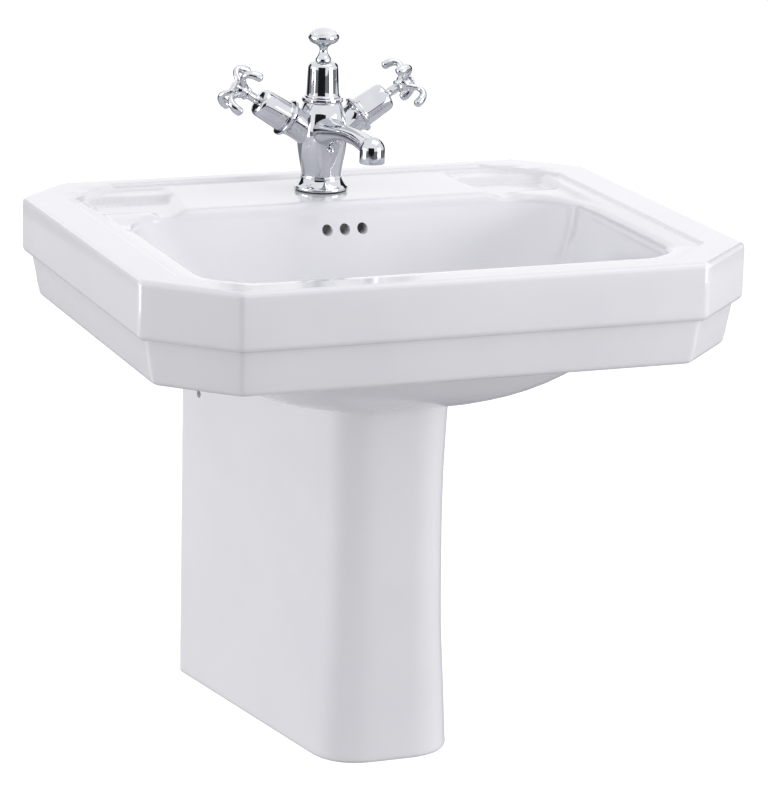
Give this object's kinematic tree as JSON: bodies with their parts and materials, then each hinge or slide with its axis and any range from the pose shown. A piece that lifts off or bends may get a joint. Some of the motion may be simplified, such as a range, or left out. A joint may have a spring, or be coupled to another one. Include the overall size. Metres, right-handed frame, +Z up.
{
  "type": "semi-pedestal washbasin",
  "caption": "Wall-hung rectangular basin with cut corners on a half pedestal, with a cross-handle mixer tap, pop-up waste and bottle trap.",
  "frame": {"origin": "on the wall plane, midway between the basin's two wall bolts", "axes": "+X to the right seen from the front, +Y into the wall, so the front is at -Y, +Z up"},
  "size_m": [0.61, 0.565, 0.6993],
  "materials": {
    "glazed_china": "gloss",
    "chrome": "mirror",
    "trap_chrome": "polished",
    "index_enamel": "gloss",
    "brass": "turned",
    "steel": "zinc plated",
    "copper": "drawn tube",
    "rubber": "moulded",
    "nylon": "moulded"
  },
  "bodies": {
    "root": {"ball_seat": "nylon", "basin": "glazed_china", "bracket_wall_screws": "steel", "cold_bonnet": "chrome", "cold_cartridge": "brass", "cold_tail": "copper", "fixing_nut": "brass", "fixing_plate_washer": "steel", "fixing_rubber_washer": "rubber", "flow_straightener": "nylon", "gland_nut": "trap_chrome", "hot_bonnet": "chrome", "hot_cartridge": "brass", "hot_tail": "copper", "pedestal_brackets": "steel", "pedestal_side_screws": "steel", "rod_guide": "nylon", "semi_pedestal": "glazed_china", "stud_nuts": "steel", "stud_sleeves": "nylon", "stud_washers": "steel", "tap_body": "chrome", "tap_gasket": "rubber", "tap_shank": "brass", "tap_tower": "chrome", "trap_cup": "trap_chrome", "trap_head": "trap_chrome", "trap_inlet_nut": "trap_chrome", "trap_outlet_nut": "trap_chrome", "trap_outlet_pipe": "trap_chrome", "trap_seals": "rubber", "trap_wall_flange": "trap_chrome", "wall_studs": "steel", "waste_back_nut": "brass", "waste_body": "chrome", "waste_flange_seal": "rubber", "waste_tailpiece": "trap_chrome", "waste_under_seal": "rubber"},
    "hot_tap": {"hot_handle": "chrome", "hot_spindle": "brass", "hot_index": "index_enamel"},
    "cold_tap": {"cold_handle": "chrome", "cold_spindle": "brass", "cold_index": "index_enamel"},
    "lift": {"lift_knob": "chrome", "knob_cap": "glazed_china", "lift_rod": "steel", "rod_clamp": "brass", "clamp_screw": "chrome"},
    "lever": {"ball_rod": "steel"},
    "plug": {"waste_plug": "chrome", "plug_seal": "rubber"}
  },
  "joints": [
    {"name": "hot_turn", "type": "hinge", "parent": "root", "child": "hot_tap", "pos_m": [0, -0.084, 0.1185], "axis": [-0.848, 0, 0.5299], "range_deg": [0, 90]},
    {"name": "cold_turn", "type": "hinge", "parent": "root", "child": "cold_tap", "pos_m": [0, -0.084, 0.1185], "axis": [0.848, 0, 0.5299], "range_deg": [0, 90]},
    {"name": "knob_lift", "type": "slide", "parent": "root", "child": "lift", "axis": [0, 0, 1], "range_m": [0, 0.03]},
    {"name": "ball_tilt", "type": "hinge", "parent": "root", "child": "lever", "pos_m": [0, -0.228, -0.16], "axis": [1, 0, 0], "range_deg": [0, 12]},
    {"name": "plug_drop", "type": "slide", "parent": "root", "child": "plug", "axis": [0, 0, 1], "range_m": [-0.0071, 0]}
  ],
  "couplings": [
    {"joint": "ball_tilt", "follows": "knob_lift", "rad_per_m": 6.957},
    {"joint": "plug_drop", "follows": "knob_lift", "ratio": -0.23611}
  ]
}
